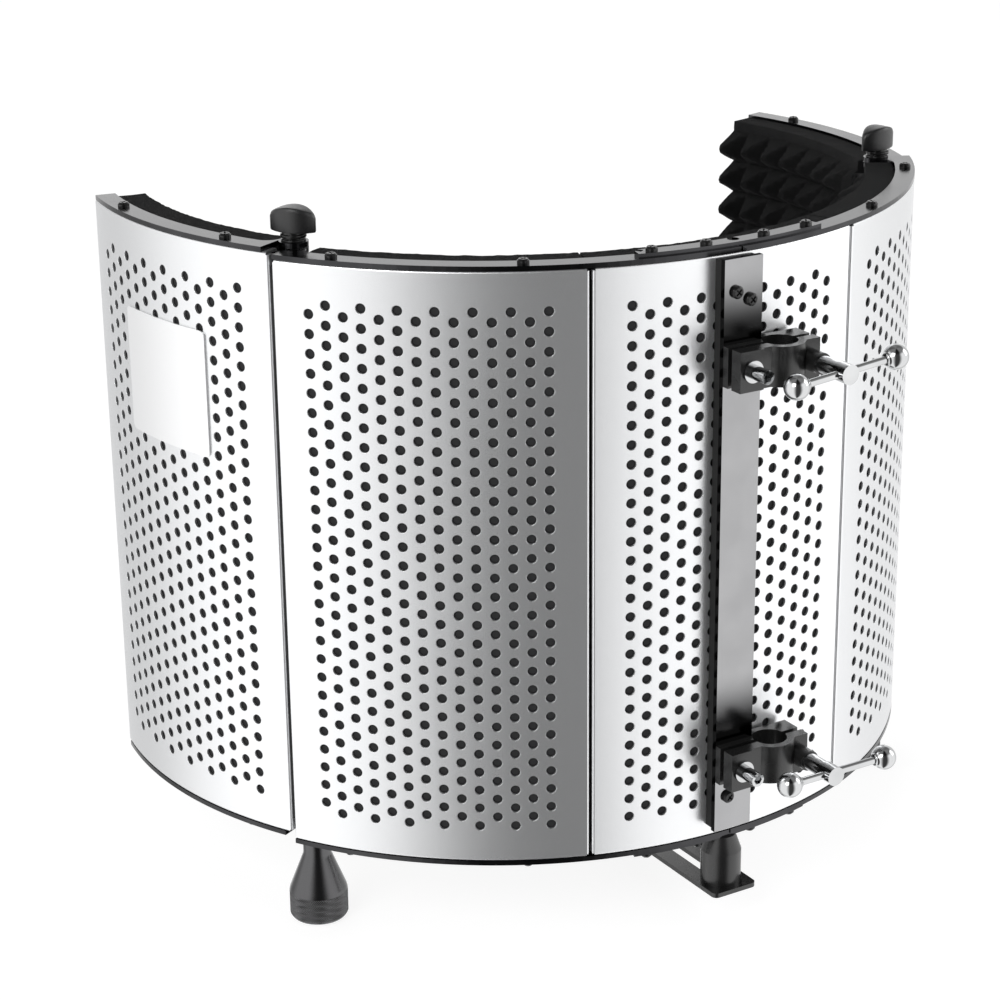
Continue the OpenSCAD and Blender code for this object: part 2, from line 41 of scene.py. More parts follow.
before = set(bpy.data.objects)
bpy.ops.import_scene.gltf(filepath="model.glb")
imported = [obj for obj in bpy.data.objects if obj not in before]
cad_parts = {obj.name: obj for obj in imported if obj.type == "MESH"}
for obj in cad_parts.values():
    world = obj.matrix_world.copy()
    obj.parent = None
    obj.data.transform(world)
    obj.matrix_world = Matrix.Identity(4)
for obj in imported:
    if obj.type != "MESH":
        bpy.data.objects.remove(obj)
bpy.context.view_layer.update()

MM = 0.001
# The arc's centre in the row frame
ARC_CENTRE = Vector((-14.0, 241.5, 110.3))

# Outer face of the sheets, half height of a panel, and degrees from one panel to the next
SHELL_R = 228.0
PANEL_TOP = 155.0
PANEL_STEP = 39.86
SHEET_T = 1.2
SEAM_GAP = 1.5
# Where the hinge axes stand, how far each wing is lifted, and how many degrees it is folded in
HINGE_R = 209.8
HINGE_A = 59.19
WING_LIFT = {-1: 3.0, 1: -3.0}
FOLD = {-1: 1.0, 1: 6.5}
PANELS = {-2: "left_wing", -1: "left_side", 0: "centre", 1: "right_side", 2: "right_wing"}


# ---------- placing ----------

def outward(phi):
    """Unit vector that points away from the arc's axis at the angle phi."""
    turn = math.radians(phi)
    return Vector((math.sin(turn), -math.cos(turn), 0))


def on_arc(phi, r, z):
    """Point at the angle phi, the distance r from the arc's axis and the height z."""
    point = outward(phi) * r
    point.z = z
    return point


def placing(index):
    """Matrix in mm from a point drawn level with the fixed panels to where that panel stands."""
    if abs(index) < 2:
        return Matrix.Identity(4)
    side = 1 if index > 0 else -1
    pivot = on_arc(side * HINGE_A, HINGE_R, 0)
    fold = Matrix.Rotation(math.radians(side * FOLD[side]), 4, "Z")
    lift = Matrix.Translation((0, 0, WING_LIFT[side]))
    return lift @ Matrix.Translation(pivot) @ fold @ Matrix.Translation(-pivot)


def to_row(matrix):
    """The same placing as a matrix from mm in the arc's frame to metres in the row frame."""
    return Matrix.Scale(MM, 4) @ Matrix.Translation(ARC_CENTRE) @ matrix


def body_of_panel(index):
    return {-2: "left_wing", 2: "right_wing"}.get(index, "frame")


# ---------- mesh helpers ----------

class Skin:
    """Collects faces corner by corner, shares their common points and keeps their normals."""

    def __init__(self):
        self.points = []
        self.found = {}
        self.faces = []
        self.slots = []
        self.normals = []

    def point(self, p):
        key = (round(p[0], 4), round(p[1], 4), round(p[2], 4))
        if key not in self.found:
            self.found[key] = len(self.points)
            self.points.append(p)
        return self.found[key]

    def face(self, corners, normals=None, slot=0):
        ids = [self.point(p) for p in corners]
        kept = [k for k in range(len(ids)) if ids[k] != ids[k - 1]]
        if len(kept) < 3:
            return
        self.faces.append([ids[k] for k in kept])
        self.slots.append(slot)
        if normals:
            self.normals += [normals[k] for k in kept]

    def mesh(self, name, sharp_angle=None):
        mesh = bpy.data.meshes.new(name)
        mesh.from_pydata(self.points, [], self.faces)
        mesh.polygons.foreach_set("use_smooth", [True] * len(mesh.polygons))
        mesh.polygons.foreach_set("material_index", self.slots)
        if self.normals:
            mesh.normals_split_custom_set(self.normals)
        elif sharp_angle:
            mesh.set_sharp_from_angle(angle=math.radians(sharp_angle))
        mesh.update()
        return mesh


def place_mesh(name, mesh, matrix, materials):
    """Object of its own for the mesh, which gets its materials unless it has them already."""
    piece = bpy.data.objects.new(name, mesh)
    bpy.context.scene.collection.objects.link(piece)
    piece.matrix_world = matrix
    if not mesh.materials:
        for material in materials:
            mesh.materials.append(material)
    return piece


def add_piece(name, mesh, matrix, body, materials, replaces=()):
    """Piece that rides on a body, in place of the CAD nodes that it replaces."""
    piece = place_mesh(name, mesh, matrix, materials)
    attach(piece, body)
    for node in replaces:
        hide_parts(node)
    return piece


def lathe_mesh(name, profile, segments, relief=None, sharp_angle=32):
    """Turned part: profile is a list of (radius, height) from one end to the other.

    relief(turn, z) is how far the surface sinks at a height and at a turn from 0 to 1.
    """
    skin = Skin()

    def spot(k, radius, z):
        turn = (k % segments) / segments
        r = radius - (relief(turn, z) if relief and radius > 0 else 0)
        return (r * math.cos(turn * math.tau), r * math.sin(turn * math.tau), z)

    for (r0, z0), (r1, z1) in zip(profile, profile[1:]):
        for k in range(segments):
            skin.face([spot(k, r0, z0), spot(k + 1, r0, z0), spot(k + 1, r1, z1), spot(k, r1, z1)])
    return skin.mesh(name, sharp_angle)


CORNER_STEPS = 3
# A rounding uses at most this share of the edge on either side of its corner
CORNER_SHARE = 0.45


def rounded(profile, radius):
    """The profile with each corner between its two ends cut back and rounded."""
    out = [profile[0]]
    for before, corner, after in zip(profile, profile[1:], profile[2:]):
        corner = Vector(corner)
        back = Vector(before) - corner
        ahead = Vector(after) - corner
        cut = min(radius, back.length * CORNER_SHARE, ahead.length * CORNER_SHARE)
        start = corner + back.normalized() * cut
        stop = corner + ahead.normalized() * cut
        for k in range(CORNER_STEPS + 1):
            t = k / CORNER_STEPS
            p = start * (1 - t) ** 2 + corner * 2 * t * (1 - t) + stop * t ** 2
            out.append((p.x, p.y))
    return out + [profile[-1]]


# ---------- materials ----------

class Tree:
    """Short way to add and link the nodes of a tree."""

    def __init__(self, tree):
        self.tree = tree

    def add(self, kind, inputs=None, **settings):
        node = self.tree.nodes.new(kind)
        for key, value in settings.items():
            setattr(node, key, value)
        for key, value in (inputs or {}).items():
            if hasattr(value, "is_output"):
                self.tree.links.new(value, node.inputs[key])
            else:
                node.inputs[key].default_value = value
        return node

    def calc(self, operation, first, second=0.0):
        return self.add("ShaderNodeMath", {0: first, 1: second}, operation=operation).outputs[0]

    def spread(self, value, low, high, start=0.3, stop=0.7, curve="LINEAR"):
        """value from start..stop mapped to low..high."""
        node = self.add(
            "ShaderNodeMapRange",
            {"Value": value, "From Min": start, "From Max": stop, "To Min": low, "To Max": high},
            interpolation_type=curve,
        )
        return node.outputs["Result"]


class Nodes(Tree):
    """The nodes of a new material, round its main shader."""

    def __init__(self, name):
        self.material = bpy.data.materials.new(name)
        self.material.use_nodes = True
        super().__init__(self.material.node_tree)
        self.shader = self.tree.nodes["Principled BSDF"]

    def put(self, **values):
        for key, value in values.items():
            target = self.shader.inputs[key.replace("_", " ")]
            if hasattr(value, "is_output"):
                self.tree.links.new(value, target)
            else:
                target.default_value = value

    def grain(self, scale, detail=2.0):
        """Noise in object space, scale in waves per metre."""
        where = self.add("ShaderNodeTexCoord").outputs["Object"]
        pattern = self.add(
            "ShaderNodeTexNoise", {"Vector": where, "Scale": scale, "Detail": detail}
        )
        return pattern.outputs["Fac"]

    def mix(self, factor, dark, light):
        """Colour between two plain ones, dark where the factor is 0."""
        node = self.add(
            "ShaderNodeMixRGB", {"Fac": factor, "Color1": (*dark, 1), "Color2": (*light, 1)}
        )
        return node.outputs[0]

    def bump(self, height, distance):
        node = self.add("ShaderNodeBump", {"Height": height, "Distance": distance, "Strength": 1.0})
        self.tree.links.new(node.outputs["Normal"], self.shader.inputs["Normal"])


# Waves per metre of the slow drift in a finish's colour and roughness
SMUDGE = 45


def finish_of(name, dark, light, metallic, rough, grain, depth, specular=0.5):
    """Fine-grained finish: colour and roughness drift slowly, the grain makes a shallow bump.

    grain is in waves per metre and depth in metres. rough holds the least and the most roughness.
    """
    n = Nodes(name)
    slow = n.grain(SMUDGE)
    fine = n.grain(grain)
    n.put(
        Base_Color=n.mix(n.spread(slow, 0, 1), dark, light),
        Metallic=metallic,
        Roughness=n.spread(slow, rough[0], rough[1]),
        Specular_IOR_Level=specular,
    )
    n.bump(fine, depth)
    return n.material


def foam_finish():
    """Open-cell foam: black cells between fibres that catch a little light."""
    n = Nodes("foam_finish")
    cells = n.grain(900, 4.0)
    slow = n.grain(60)
    light = n.spread(cells, 0, 1, 0.35, 0.65)
    base = n.mix(light, (0.004, 0.004, 0.0045), (0.022, 0.022, 0.023))
    n.put(
        Base_Color=base,
        Roughness=n.spread(slow, 0.88, 1.0),
        Specular_IOR_Level=0.1,
        Sheen_Weight=0.06,
        Sheen_Roughness=0.5,
    )
    n.bump(cells, 0.0012)
    return n.material


# Tops of the two stand clamps, and the stretch above each over which the bar's painted reflection
# of the clamp fades and the bar clears up again.
# Behind a clamp this painted shade stays dark down to MIRROR_BELOW under the clamp's top.
CLAMP_TOPS = (112.0, -100.0)
MIRROR_START = 8.0
MIRROR_REACH = 40.0
MIRROR_BELOW = 10.0
# Black of the bar's edge faces: painted shade beside the painted gloss of its broad faces
BAR_EDGE_PAINTED_SHADE = (0.012, 0.012, 0.012, 1)


def bar_painted_sheen():
    """Glossy black bar whose base colour holds painted light: its broad faces get a painted gloss.

    Towards the tops of the clamps they darken with a painted reflection of the clamps' black. Its
    edge faces keep a black copy of the colour as painted shade.
    """
    n = Nodes("satin_black_steel_painted_sheen")
    slow = n.grain(SMUDGE)
    geometry = n.add("ShaderNodeNewGeometry").outputs
    normal = n.add("ShaderNodeSeparateXYZ", {"Vector": geometry["Normal"]}).outputs
    height = n.add("ShaderNodeSeparateXYZ", {"Vector": geometry["Position"]}).outputs["Z"]
    # Painted gloss: the grey that the broad faces get in their colour, standing in for the studio's
    # reflection
    painted_sheen = n.mix(n.spread(slow, 0, 1), (0.32, 0.32, 0.325), (0.36, 0.36, 0.365))
    # Mask of the broad faces, by the way they face, which get the painted gloss; the edge faces get
    # painted black
    faces = n.spread(n.calc("ABSOLUTE", normal["Y"]), 0, 1, 0.75, 0.98)
    # Painted reflection of each clamp's black: the broad faces are painted darker near the clamp's
    # top and behind it
    for clamp_top in CLAMP_TOPS:
        low = (clamp_top + ARC_CENTRE.z) * MM
        start, stop = low + MIRROR_START * MM, low + MIRROR_REACH * MM
        above = n.spread(height, 0.02, 1, start, stop, "SMOOTHSTEP")
        under = n.calc("LESS_THAN", height, low - MIRROR_BELOW * MM)
        faces = n.calc("MULTIPLY", faces, n.calc("MAXIMUM", above, under))
    mixed = n.add("ShaderNodeMixRGB", {"Fac": faces, "Color1": BAR_EDGE_PAINTED_SHADE, "Color2": painted_sheen})
    n.put(Base_Color=mixed.outputs[0], Metallic=1.0, Roughness=n.spread(slow, 0.12, 0.17))
    n.bump(n.grain(2200), 0.000008)
    return n.material


ALUMINIUM = finish_of(
    "satin_aluminium", (0.80, 0.81, 0.82), (0.86, 0.865, 0.875),
    metallic=0.87, rough=(0.26, 0.32), grain=2600, depth=0.000012,
)
LABEL = finish_of(
    "label_aluminium", (0.88, 0.885, 0.89), (0.93, 0.93, 0.935),
    metallic=0.7, rough=(0.34, 0.40), grain=3200, depth=0.00001,
)
BAR_BLACK_PAINTED_SHEEN = bar_painted_sheen()
RIM_BLACK = finish_of(
    "rim_black_steel", (0.04, 0.04, 0.042), (0.065, 0.065, 0.068),
    metallic=1.0, rough=(0.16, 0.24), grain=2400, depth=0.00001,
)
CAST_BLACK = finish_of(
    "cast_black", (0.008, 0.008, 0.008), (0.014, 0.014, 0.014),
    metallic=0.0, rough=(0.22, 0.30), grain=1500, depth=0.00002, specular=0.65,
)
SCREW_BLACK = finish_of(
    "gloss_black_screw", (0.008, 0.008, 0.008), (0.014, 0.014, 0.014),
    metallic=0.0, rough=(0.10, 0.16), grain=1800, depth=0.00001, specular=0.4,
)
CHROME = finish_of(
    "polished_chrome", (0.50, 0.505, 0.51), (0.60, 0.605, 0.61),
    metallic=1.0, rough=(0.03, 0.08), grain=900, depth=0.000003,
)
ZINC = finish_of(
    "zinc_steel", (0.42, 0.42, 0.43), (0.56, 0.56, 0.57),
    metallic=1.0, rough=(0.25, 0.42), grain=1600, depth=0.00001,
)
KNOB_BLACK = finish_of(
    "knob_plastic", (0.006, 0.006, 0.0065), (0.010, 0.010, 0.0105),
    metallic=0.0, rough=(0.30, 0.38), grain=2600, depth=0.00003, specular=0.6,
)
FOOT_BLACK = finish_of(
    "foot_black", (0.09, 0.09, 0.092), (0.12, 0.12, 0.123),
    metallic=1.0, rough=(0.16, 0.24), grain=2200, depth=0.00001,
)
PACKING = finish_of(
    "packing_black", (0.008, 0.008, 0.008), (0.014, 0.014, 0.014),
    metallic=0.0, rough=(0.5, 0.6), grain=2400, depth=0.00001, specular=0.3,
)
FOAM = foam_finish()
# The foam's rear faces, seen through the holes: the same foam painted lighter, as painted light
# that stands in for light coming through the holes
FOAM_REAR_PAINTED_LIGHT = finish_of(
    "foam_rear_painted_light", (0.024, 0.024, 0.025), (0.038, 0.038, 0.039),
    metallic=0.0, rough=(0.85, 0.95), grain=1800, depth=0.00003, specular=0.2,
)


# ---------- perforated panels ----------

HOLE_R = 2.5
HOLE_EDGE = 0.28
HOLE_PITCH = 10.0
COLUMN_PITCH = 9.07
COLUMNS = 14
# Holes in a long column. The columns between are one hole shorter.
LONG_COLUMN = 28
# Straight pieces of a cell's outline. Each meets two pieces of the hole's edge.
CELL_SIDES = 12
# Bend of the sheet's edges, and depth of the flanges behind its outer face
EDGE_BEND = 1.3
FLANGE_W = 9.5
SIDE_FLANGE = 4.0
# Share of the arc's curve that each panel lacks, since every panel is rolled a little flatter
FLATTER = 0.3


def cell_outline():
    """Twelve points round a cell, from its upper right corner, as shares of its half size."""
    third = 1 / 3
    top = [(1, 1), (third, 1), (-third, 1)]
    left = [(-1, 1), (-1, third), (-1, -third)]
    bottom = [(-1, -1), (-third, -1), (third, -1)]
    right = [(1, -1), (1, -third), (1, third)]
    return top + left + bottom + right


def sheet_point(s, z, depth):
    """Point of a panel whose middle is at phi = 0: s along the curve, depth behind its face."""
    return on_arc(math.degrees(s / SHELL_R), SHELL_R - depth, z)


def sheet_facing(s, out, across=0.0, up=0.0):
    """Direction made of outward, across and up shares, on a panel rolled flatter than the arc."""
    phi = math.degrees(s / SHELL_R) * (1 - FLATTER)
    n = outward(phi) * out + outward(phi + 90) * across
    n.z = up
    return n.normalized()


def add_hole_cell(skin, s0, z0):
    """Piece of sheet with one hole in its middle, from the outer face to the inner one."""
    outline = [(s0 + a * COLUMN_PITCH / 2, z0 + b * HOLE_PITCH / 2) for a, b in cell_outline()]
    points = 2 * CELL_SIDES
    turns = [math.radians(45 + 360 / points * k) for k in range(points)]
    rays = [(math.cos(t), math.sin(t)) for t in turns]

    def ring(radius, depth):
        return [sheet_point(s0 + radius * c, z0 + radius * w, depth) for c, w in rays]

    lip = ring(HOLE_R + HOLE_EDGE, 0)
    throat = ring(HOLE_R, HOLE_EDGE)
    inside = ring(HOLE_R, SHEET_T)
    out = sheet_facing(s0, 1)
    inward = [sheet_facing(s0, 0, -c, -w) for c, w in rays]
    for k in range(CELL_SIDES):
        after = (k + 1) % CELL_SIDES
        (sa, za), (sb, zb) = outline[k], outline[after]
        c0, c1, c2 = 2 * k, 2 * k + 1, 2 * after
        skin.face(
            [sheet_point(sa, za, 0), sheet_point(sb, zb, 0), lip[c2], lip[c1], lip[c0]],
            [sheet_facing(sa, 1), sheet_facing(sb, 1), out, out, out],
        )
        rear = [sheet_point(sb, zb, SHEET_T), sheet_point(sa, za, SHEET_T)]
        skin.face([inside[c0], inside[c1], inside[c2]] + rear, [-out] * 5)
    for k in range(points):
        after = (k + 1) % points
        skin.face(
            [lip[k], lip[after], throat[after], throat[k]], [out, out, inward[after], inward[k]]
        )
        skin.face(
            [throat[k], throat[after], inside[after], inside[k]],
            [inward[k], inward[after], inward[after], inward[k]],
        )


def add_band(skin, s_marks, z_marks):
    """Plain sheet between marks along and up the panel, with both faces."""
    for sa, sb in zip(s_marks, s_marks[1:]):
        for za, zb in zip(z_marks, z_marks[1:]):
            corners = [(sa, za), (sb, za), (sb, zb), (sa, zb)]
            skin.face(
                [sheet_point(s, z, 0) for s, z in corners], [sheet_facing(s, 1) for s, z in corners]
            )
            corners.reverse()
            skin.face(
                [sheet_point(s, z, SHEET_T) for s, z in corners],
                [-sheet_facing(s, 1) for s, z in corners],
            )


BEND_STEPS = 4


def bend_rows(edge, flange):
    """Rows of a fold at an edge: distance from the middle, depth and the turn of the sheet."""
    turns = [math.radians(90 * k / BEND_STEPS) for k in range(BEND_STEPS + 1)]
    rows = [
        (edge - EDGE_BEND + EDGE_BEND * math.sin(b), EDGE_BEND * (1 - math.cos(b)), b)
        for b in turns
    ]
    return rows + [(edge, flange, turns[-1])]


def add_folded_edges(skin, s_marks, half):
    """Bends and flanges along the top and bottom, and short folds down both sides."""
    for end in (-1, 1):
        rows = bend_rows(PANEL_TOP, FLANGE_W)
        for (za, da, ba), (zb, db, bb) in zip(rows, rows[1:]):
            for sa, sb in zip(s_marks, s_marks[1:]):
                corners = [(sa, za, da, ba), (sb, za, da, ba), (sb, zb, db, bb), (sa, zb, db, bb)]
                if end < 0:
                    corners.reverse()
                skin.face(
                    [sheet_point(s, end * z, d) for s, z, d, b in corners],
                    [sheet_facing(s, math.cos(b), 0, end * math.sin(b)) for s, z, d, b in corners],
                )
        under = PANEL_TOP - SHEET_T
        for sa, sb in zip(s_marks, s_marks[1:]):
            lip = [(sa, PANEL_TOP, FLANGE_W), (sb, PANEL_TOP, FLANGE_W)]
            lip += [(sb, under, FLANGE_W), (sa, under, FLANGE_W)]
            shelf = [(sa, under, FLANGE_W), (sb, under, FLANGE_W)]
            shelf += [(sb, under, SHEET_T), (sa, under, SHEET_T)]
            for corners, facing in ((lip, (-1, 0, 0)), (shelf, (0, 0, -end))):
                if end < 0:
                    corners = corners[::-1]
                skin.face(
                    [sheet_point(s, end * z, d) for s, z, d in corners],
                    [sheet_facing(s, *facing) for s, z, d in corners],
                )
    top = PANEL_TOP - EDGE_BEND
    inset = half - SHEET_T
    for side in (-1, 1):
        rows = bend_rows(half, SIDE_FLANGE)
        for (sa, da, ba), (sb, db, bb) in zip(rows, rows[1:]):
            corners = [(sa, -top, da, ba), (sb, -top, db, bb), (sb, top, db, bb), (sa, top, da, ba)]
            if side < 0:
                corners.reverse()
            skin.face(
                [sheet_point(side * s, z, d) for s, z, d, b in corners],
                [sheet_facing(side * s, math.cos(b), side * math.sin(b)) for s, z, d, b in corners],
            )
        back = [(half, -top, SIDE_FLANGE), (inset, -top, SIDE_FLANGE)]
        back += [(inset, top, SIDE_FLANGE), (half, top, SIDE_FLANGE)]
        inner = [(inset, -top, SIDE_FLANGE), (inset, -top, SHEET_T)]
        inner += [(inset, top, SHEET_T), (inset, top, SIDE_FLANGE)]
        for corners, facing in ((back, (-1, 0, 0)), (inner, (0, -side, 0))):
            if side < 0:
                corners = corners[::-1]
            skin.face(
                [sheet_point(side * s, z, d) for s, z, d in corners],
                [sheet_facing(side * s, *facing) for s, z, d in corners],
            )


def marks_between(start, stop, count):
    """Both ends and the marks that cut the way between them into count equal steps."""
    return [start + (stop - start) * k / count for k in range(count + 1)]


def perforated_mesh(name, long_first):
    """Panel with staggered columns of holes, of which the first may be a long one."""
    skin = Skin()
    half = math.radians(PANEL_STEP / 2) * SHELL_R - SEAM_GAP / 2
    grid_half = COLUMNS * COLUMN_PITCH / 2
    top = PANEL_TOP - EDGE_BEND
    for column in range(COLUMNS):
        s0 = (column - (COLUMNS - 1) / 2) * COLUMN_PITCH
        count = LONG_COLUMN - ((column % 2 == 0) != long_first)
        for row in range(count):
            add_hole_cell(skin, s0, (row - (count - 1) / 2) * HOLE_PITCH)
        s_marks = marks_between(s0 - COLUMN_PITCH / 2, s0 + COLUMN_PITCH / 2, 3)
        edge = count * HOLE_PITCH / 2
        add_band(skin, s_marks, [edge, top])
        add_band(skin, s_marks, [-top, -edge])
    left = marks_between(-half + EDGE_BEND, -grid_half, 6)
    right = marks_between(grid_half, half - EDGE_BEND, 6)
    for marks in (left, right):
        add_band(skin, marks, [-top, 0, top])
    middle = marks_between(-grid_half, grid_half, 3 * COLUMNS)
    add_folded_edges(skin, left + middle[1:-1] + right, half)
    return skin.mesh(name)


side_sheet = perforated_mesh("perforated_sheet", False)
centre_sheet = perforated_mesh("perforated_sheet_centre", True)
for index, label in PANELS.items():
    turn = Matrix.Rotation(math.radians(index * PANEL_STEP), 4, "Z")
    add_piece(
        label + "_perforated_sheet",
        centre_sheet if index == 0 else side_sheet,
        to_row(placing(index) @ turn),
        body_of_panel(index),
        [ALUMINIUM],
        [label + "_panel"],
    )


# ---------- label plate ----------

# Where the label plate starts and ends round the arc and up the wing, and where its faces lie
LABEL_PHI = (-88.0, -70.8)
LABEL_Z = (43.0, 109.0)
LABEL_R = (SHELL_R + 0.05, SHELL_R + 0.85)
LABEL_CORNER = 3.0


def label_mesh():
    """Blank curved plate with rounded corners."""
    first, last = LABEL_PHI
    low, high = LABEL_Z
    r_back, r_front = LABEL_R
    corner_deg = math.degrees(LABEL_CORNER / r_front)
    inward = [corner_deg * (1 - math.cos(math.radians(15 * k))) for k in range(7)]
    marks = [first + step for step in inward]
    marks += marks_between(first + corner_deg, last - corner_deg, 14)[1:-1]
    marks += [last - step for step in reversed(inward)]
    skin = Skin()

    def cut(phi):
        """How far the plate's end is cut back by the rounding of its corners."""
        past = max(first + corner_deg - phi, phi - last + corner_deg, 0) / corner_deg
        return LABEL_CORNER * (1 - math.sqrt(max(0, 1 - past * past)))

    for a, b in zip(marks, marks[1:]):
        fa = [on_arc(a, r_front, low + cut(a)), on_arc(a, r_front, high - cut(a))]
        fb = [on_arc(b, r_front, low + cut(b)), on_arc(b, r_front, high - cut(b))]
        ba = [on_arc(a, r_back, low + cut(a)), on_arc(a, r_back, high - cut(a))]
        bb = [on_arc(b, r_back, low + cut(b)), on_arc(b, r_back, high - cut(b))]
        skin.face([fa[0], fb[0], fb[1], fa[1]])
        skin.face([fa[1], fb[1], bb[1], ba[1]])
        skin.face([fb[0], fa[0], ba[0], bb[0]])
        skin.face([bb[0], ba[0], ba[1], bb[1]])
        if a == marks[0]:
            skin.face([fa[0], fa[1], ba[1], ba[0]])
        if b == marks[-1]:
            skin.face([fb[1], fb[0], bb[0], bb[1]])
    return skin.mesh("label_plate_blank", 40)


add_piece(
    "label_plate_blank",
    label_mesh(),
    to_row(placing(-2)),
    "left_wing",
    [LABEL],
    ["label_plate"],
)


# ---------- foam ----------

# Valleys between the pyramids, height of a pyramid, and the pyramids' pitch in degrees and mm
FOAM_BASE_R = 202.0
FOAM_TIP = 17.0
FOAM_PITCH_A = 5.155
FOAM_PITCH_Z = 18.4
FOAM_TOP = 156.2
# Height of the highest row of tips
FIRST_TIP = 141.5
# A pyramid's tip is blunted from this share of its height, over this share, by this share
TIP_BLUNT = (0.85, 0.15, 0.05)
# Back of the foam, which steps forward to FOAM_STEP_R past FOAM_BACK_TOP to clear the flanges
FOAM_BACK_R = 226.4
FOAM_BACK_TOP = 148.5
FOAM_STEP_R = 216.7
# The fuzz on a block's ends reaches back to here
FOAM_MID_R = 209.0
# Pyramids beside a hinge stay this far behind the line where foam meets foam at the largest fold
MAX_FOLD = 75.5
FOLD_GAP = 1.1
# Faces from tip to tip
FOAM_STEPS = 8
# The fuzz moves a point by up to about FUZZ_REACH at each of two scales, in waves per mm
FUZZ_REACH = 0.32
FUZZ_SCALES = (0.8, 0.13)


def spike(phi, z):
    """Height of the pyramids above the foam's valleys."""
    rows = (FIRST_TIP - z) / FOAM_PITCH_Z
    if rows < -0.5:
        return 0.0
    u = abs(rows - round(rows))
    v = abs(phi / FOAM_PITCH_A - round(phi / FOAM_PITCH_A))
    slope = 1 - 2 * max(u, v)
    away = math.radians(abs(abs(phi) - HINGE_A))
    free_r = HINGE_R / (math.cos(away) + math.sin(away) / math.tan(math.radians(MAX_FOLD / 2)))
    blunt_from, blunt_width, blunt_loss = TIP_BLUNT
    height = FOAM_TIP * (slope - blunt_loss * max(0, slope - blunt_from) / blunt_width)
    return max(0, min(height, FOAM_BASE_R - free_r - FOLD_GAP))


def fuzz(p):
    """Moves a point of the foam's surface a little, the same way every run."""
    fine, coarse = (noise.noise_vector(p * scale) * FUZZ_REACH for scale in FUZZ_SCALES)
    return p + fine + coarse


def foam_mesh(name, phi_low, phi_high, z_low, z_high, place, stepped_back=True):
    """Block of pyramid foam. place(phi, point) puts a point where its part of the foam stands."""
    skin = Skin()
    step_a = FOAM_PITCH_A / FOAM_STEPS
    count_a = max(2, round((phi_high - phi_low) / step_a))
    angles = marks_between(phi_low, phi_high, count_a)
    grid = FOAM_PITCH_Z / FOAM_STEPS
    first = math.ceil((z_low - FIRST_TIP) / grid)
    last = math.floor((z_high - FIRST_TIP) / grid)
    heights = [z_low] + [FIRST_TIP + k * grid for k in range(first, last + 1)] + [z_high]
    heights = sorted(set(round(z, 4) for z in heights))

    def front(phi, z):
        return place(phi, fuzz(on_arc(phi, FOAM_BASE_R - spike(phi, z), z)))

    def rear(phi, z):
        r = FOAM_BACK_R if not stepped_back or abs(z) < FOAM_BACK_TOP else FOAM_STEP_R
        return place(phi, on_arc(phi, r, z))

    def mid(phi, z):
        return place(phi, fuzz(on_arc(phi, FOAM_MID_R, z)))

    for a, b in zip(angles, angles[1:]):
        for low, high in zip(heights, heights[1:]):
            skin.face([front(b, low), front(a, low), front(a, high), front(b, high)])
            # The rear faces take the second material, the foam painted lighter as painted light
            skin.face([rear(a, low), rear(b, low), rear(b, high), rear(a, high)], slot=1)
        for z, way in ((heights[-1], 1), (heights[0], -1)):
            for near, far in ((front, mid), (mid, rear)):
                corners = [near(b, z), near(a, z), far(a, z), far(b, z)]
                skin.face(corners if way > 0 else corners[::-1])
    for phi, way in ((angles[0], 1), (angles[-1], -1)):
        for low, high in zip(heights, heights[1:]):
            for near, far in ((front, mid), (mid, rear)):
                corners = [near(phi, high), near(phi, low), far(phi, low), far(phi, high)]
                skin.face(corners if way > 0 else corners[::-1])
    return skin.mesh(name, 24)


# Degrees from a hinge to the foam on either side of it, which a strip of foam bridges
FOAM_CUT = 2.8
# Where the centre's foam ends, and the open seam between it and the next block
FOAM_SEAM = PANEL_STEP / 2 - 0.15
FOAM_SEAM_GAP = 0.3
# Half a seam between panels, and how far the foam stops short of the wing's far edge
HALF_SEAM_DEG = 0.19
WING_END_GAP = 1.0
WING_FOAM_END = 2 * PANEL_STEP + PANEL_STEP / 2 - HALF_SEAM_DEG - WING_END_GAP
SIDE_SPAN = (FOAM_SEAM + FOAM_SEAM_GAP, HINGE_A - FOAM_CUT)
WING_SPAN = (HINGE_A + FOAM_CUT, WING_FOAM_END)


def foam_span(index):
    low, high = {0: (-FOAM_SEAM, FOAM_SEAM), 1: SIDE_SPAN, 2: WING_SPAN}[abs(index)]
    return (low, high) if index >= 0 else (-high, -low)


for index, label in PANELS.items():
    matrix = placing(index)
    low, high = foam_span(index)
    name = label + "_pyramid_foam"
    mesh = foam_mesh(name, low, high, -FOAM_TOP, FOAM_TOP, lambda phi, p: matrix @ p)
    add_piece(
        name,
        mesh,
        to_row(Matrix.Identity(4)),
        body_of_panel(index),
        [FOAM, FOAM_REAR_PAINTED_LIGHT],
        [label + "_foam"],
    )


def bridge_placing(side):
    """Foam that crosses a hinge goes over from the fixed frame's placing to the wing's."""
    wing = placing(2 * side)

    def place(phi, p):
        share = (abs(phi) - SIDE_SPAN[1]) / (WING_SPAN[0] - SIDE_SPAN[1])
        return p.lerp(wing @ p, min(1, max(0, share)))

    return place


BRIDGE_LOW, BRIDGE_HIGH = -146.0, 149.0
for side, label in ((-1, "left"), (1, "right")):
    low, high = sorted((side * SIDE_SPAN[1], side * WING_SPAN[0]))
    name = label + "_hinge_foam"
    mesh = foam_mesh(name, low, high, BRIDGE_LOW, BRIDGE_HIGH, bridge_placing(side), False)
    in_row = to_row(Matrix.Identity(4))
    piece = place_mesh(name, mesh, in_row, [FOAM, FOAM_REAR_PAINTED_LIGHT])
    # The blend's axis is level: its end is lowered by the wing's lift before the wing is placed
    start = in_row @ on_arc(side * SIDE_SPAN[1], HINGE_R, 0)
    wing_edge = on_arc(side * WING_SPAN[0], HINGE_R, -WING_LIFT[side])
    stop = in_row @ (placing(2 * side) @ wing_edge)
    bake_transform(piece)


